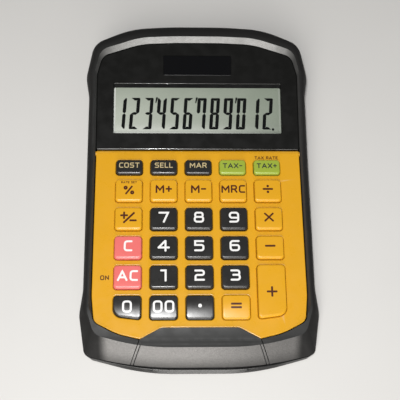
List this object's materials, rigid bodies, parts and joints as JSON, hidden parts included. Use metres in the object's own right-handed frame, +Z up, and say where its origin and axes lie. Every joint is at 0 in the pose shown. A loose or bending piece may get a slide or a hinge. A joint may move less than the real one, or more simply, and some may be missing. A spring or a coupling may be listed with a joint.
{
  "type": "pocket calculator",
  "caption": "Wedge-shaped pocket calculator with a sloped display, a solar window and a yellow keyboard panel that lifts up on a rear hinge.",
  "frame": {"origin": "on the table under the middle of the body, at the bottom faces of the rubber feet", "axes": "+X to the right of the person using it, +Y from the front lip towards the display end, +Z up"},
  "size_m": [0.1084, 0.1686, 0.0334],
  "materials": {
    "key_black": "smooth moulded keycap with a soft gloss",
    "key_green": "smooth moulded keycap",
    "key_coral": "smooth moulded keycap",
    "key_yellow": "smooth moulded keycap",
    "yellow_panel": "satin moulded plastic",
    "grained_black": "coarsely grained moulded plastic",
    "case_black": "satin moulded plastic",
    "inner_black": "plain moulded plastic",
    "fascia_black": "fine matt texture",
    "clear_lens": "clear acrylic sheet",
    "lcd_glass": "grey-green reflective display",
    "dark_window": "polished smoked acrylic",
    "solar_film": "dark amorphous cell",
    "white_plastic": "plain moulded plastic",
    "elastomer_strip": "layered conductive elastomer",
    "rubber_grey": "matt silicone",
    "rubber_red": "matt silicone",
    "lead_red": "insulated wire",
    "board_green": "solder-masked fibre board",
    "chip_black": "moulded chip package",
    "membrane_film": "frosted polyester film",
    "flex_amber": "flexible circuit film",
    "cell_steel": "nickel-plated can",
    "screw_steel": "zinc-plated screw",
    "contact_brass": "plated spring contact"
  },
  "bodies": {
    "case": {"upper_case": "grained_black", "lower_case": "case_black", "case_gasket": "rubber_grey", "case_screws": "screw_steel", "rubber_feet": "rubber_grey", "display_fascia": "fascia_black", "lcd_window": "clear_lens", "lcd_panel": "lcd_glass", "lcd_holder": "white_plastic", "lcd_connector": "elastomer_strip", "solar_window": "dark_window", "solar_cell": "solar_film", "solar_leads": "lead_red", "main_board": "board_green", "controller_chip": "chip_black", "board_screws": "screw_steel", "tail_connector": "white_plastic", "switch_membrane": "membrane_film", "membrane_tail": "flex_amber", "tail_seal": "rubber_grey", "battery": "cell_steel", "battery_contact_plus": "contact_brass", "battery_contact_minus": "contact_brass"},
    "keyboard": {"keyboard_frame": "yellow_panel", "front_tab": "grained_black", "key_mat": "rubber_grey", "keyboard_backplate": "inner_black", "keyboard_screws": "screw_steel"},
    "battery_cover": {"battery_cover": "case_black", "battery_cover_seal": "rubber_red", "battery_cover_screw": "screw_steel"},
    "key_cost": {"key_cost": "key_black"},
    "key_sell": {"key_sell": "key_black"},
    "key_margin": {"key_margin": "key_black"},
    "key_tax_minus": {"key_tax_minus": "key_green"},
    "key_tax_plus": {"key_tax_plus": "key_green"},
    "key_percent": {"key_percent": "key_yellow"},
    "key_m_plus": {"key_m_plus": "key_yellow"},
    "key_m_minus": {"key_m_minus": "key_yellow"},
    "key_mrc": {"key_mrc": "key_yellow"},
    "key_divide": {"key_divide": "key_yellow"},
    "key_sign": {"key_sign": "key_yellow"},
    "key_7": {"key_7": "key_black"},
    "key_8": {"key_8": "key_black"},
    "key_9": {"key_9": "key_black"},
    "key_multiply": {"key_multiply": "key_yellow"},
    "key_clear": {"key_clear": "key_coral"},
    "key_4": {"key_4": "key_black"},
    "key_5": {"key_5": "key_black"},
    "key_6": {"key_6": "key_black"},
    "key_minus": {"key_minus": "key_yellow"},
    "key_all_clear": {"key_all_clear": "key_coral"},
    "key_1": {"key_1": "key_black"},
    "key_2": {"key_2": "key_black"},
    "key_3": {"key_3": "key_black"},
    "key_plus": {"key_plus": "key_yellow"},
    "key_0": {"key_0": "key_black"},
    "key_00": {"key_00": "key_black"},
    "key_point": {"key_point": "key_black"},
    "key_equals": {"key_equals": "key_yellow"}
  },
  "joints": [
    {"name": "keyboard_lift", "type": "hinge", "parent": "case", "child": "keyboard", "pos_m": [0, 0.01807, 0.01863], "axis": [-1, 0, 0], "range_deg": [0, 45]},
    {"name": "battery_cover_removal", "type": "slide", "parent": "case", "child": "battery_cover", "axis": [0, 0, -1], "range_m": [0, 0.012]},
    {"name": "key_cost_press", "type": "slide", "parent": "keyboard", "child": "key_cost", "axis": [0, 0.0769, -0.997], "range_m": [0, 0.0012], "stiffness_N_per_m": 400},
    {"name": "key_sell_press", "type": "slide", "parent": "keyboard", "child": "key_sell", "axis": [0, 0.0769, -0.997], "range_m": [0, 0.0012], "stiffness_N_per_m": 400},
    {"name": "key_margin_press", "type": "slide", "parent": "keyboard", "child": "key_margin", "axis": [0, 0.0769, -0.997], "range_m": [0, 0.0012], "stiffness_N_per_m": 400},
    {"name": "key_tax_minus_press", "type": "slide", "parent": "keyboard", "child": "key_tax_minus", "axis": [0, 0.0769, -0.997], "range_m": [0, 0.0012], "stiffness_N_per_m": 400},
    {"name": "key_tax_plus_press", "type": "slide", "parent": "keyboard", "child": "key_tax_plus", "axis": [0, 0.0769, -0.997], "range_m": [0, 0.0012], "stiffness_N_per_m": 400},
    {"name": "key_percent_press", "type": "slide", "parent": "keyboard", "child": "key_percent", "axis": [0, 0.0769, -0.997], "range_m": [0, 0.0012], "stiffness_N_per_m": 400},
    {"name": "key_m_plus_press", "type": "slide", "parent": "keyboard", "child": "key_m_plus", "axis": [0, 0.0769, -0.997], "range_m": [0, 0.0012], "stiffness_N_per_m": 400},
    {"name": "key_m_minus_press", "type": "slide", "parent": "keyboard", "child": "key_m_minus", "axis": [0, 0.0769, -0.997], "range_m": [0, 0.0012], "stiffness_N_per_m": 400},
    {"name": "key_mrc_press", "type": "slide", "parent": "keyboard", "child": "key_mrc", "axis": [0, 0.0769, -0.997], "range_m": [0, 0.0012], "stiffness_N_per_m": 400},
    {"name": "key_divide_press", "type": "slide", "parent": "keyboard", "child": "key_divide", "axis": [0, 0.0769, -0.997], "range_m": [0, 0.0012], "stiffness_N_per_m": 400},
    {"name": "key_sign_press", "type": "slide", "parent": "keyboard", "child": "key_sign", "axis": [0, 0.0769, -0.997], "range_m": [0, 0.0012], "stiffness_N_per_m": 400},
    {"name": "key_7_press", "type": "slide", "parent": "keyboard", "child": "key_7", "axis": [0, 0.0769, -0.997], "range_m": [0, 0.0012], "stiffness_N_per_m": 400},
    {"name": "key_8_press", "type": "slide", "parent": "keyboard", "child": "key_8", "axis": [0, 0.0769, -0.997], "range_m": [0, 0.0012], "stiffness_N_per_m": 400},
    {"name": "key_9_press", "type": "slide", "parent": "keyboard", "child": "key_9", "axis": [0, 0.0769, -0.997], "range_m": [0, 0.0012], "stiffness_N_per_m": 400},
    {"name": "key_multiply_press", "type": "slide", "parent": "keyboard", "child": "key_multiply", "axis": [0, 0.0769, -0.997], "range_m": [0, 0.0012], "stiffness_N_per_m": 400},
    {"name": "key_clear_press", "type": "slide", "parent": "keyboard", "child": "key_clear", "axis": [0, 0.0769, -0.997], "range_m": [0, 0.0012], "stiffness_N_per_m": 400},
    {"name": "key_4_press", "type": "slide", "parent": "keyboard", "child": "key_4", "axis": [0, 0.0769, -0.997], "range_m": [0, 0.0012], "stiffness_N_per_m": 400},
    {"name": "key_5_press", "type": "slide", "parent": "keyboard", "child": "key_5", "axis": [0, 0.0769, -0.997], "range_m": [0, 0.0012], "stiffness_N_per_m": 400},
    {"name": "key_6_press", "type": "slide", "parent": "keyboard", "child": "key_6", "axis": [0, 0.0769, -0.997], "range_m": [0, 0.0012], "stiffness_N_per_m": 400},
    {"name": "key_minus_press", "type": "slide", "parent": "keyboard", "child": "key_minus", "axis": [0, 0.0769, -0.997], "range_m": [0, 0.0012], "stiffness_N_per_m": 400},
    {"name": "key_all_clear_press", "type": "slide", "parent": "keyboard", "child": "key_all_clear", "axis": [0, 0.0769, -0.997], "range_m": [0, 0.0012], "stiffness_N_per_m": 400},
    {"name": "key_1_press", "type": "slide", "parent": "keyboard", "child": "key_1", "axis": [0, 0.0769, -0.997], "range_m": [0, 0.0012], "stiffness_N_per_m": 400},
    {"name": "key_2_press", "type": "slide", "parent": "keyboard", "child": "key_2", "axis": [0, 0.0769, -0.997], "range_m": [0, 0.0012], "stiffness_N_per_m": 400},
    {"name": "key_3_press", "type": "slide", "parent": "keyboard", "child": "key_3", "axis": [0, 0.0769, -0.997], "range_m": [0, 0.0012], "stiffness_N_per_m": 400},
    {"name": "key_plus_press", "type": "slide", "parent": "keyboard", "child": "key_plus", "axis": [0, 0.0769, -0.997], "range_m": [0, 0.0012], "stiffness_N_per_m": 400},
    {"name": "key_0_press", "type": "slide", "parent": "keyboard", "child": "key_0", "axis": [0, 0.0769, -0.997], "range_m": [0, 0.0012], "stiffness_N_per_m": 400},
    {"name": "key_00_press", "type": "slide", "parent": "keyboard", "child": "key_00", "axis": [0, 0.0769, -0.997], "range_m": [0, 0.0012], "stiffness_N_per_m": 400},
    {"name": "key_point_press", "type": "slide", "parent": "keyboard", "child": "key_point", "axis": [0, 0.0769, -0.997], "range_m": [0, 0.0012], "stiffness_N_per_m": 400},
    {"name": "key_equals_press", "type": "slide", "parent": "keyboard", "child": "key_equals", "axis": [0, 0.0769, -0.997], "range_m": [0, 0.0012], "stiffness_N_per_m": 400}
  ]
}
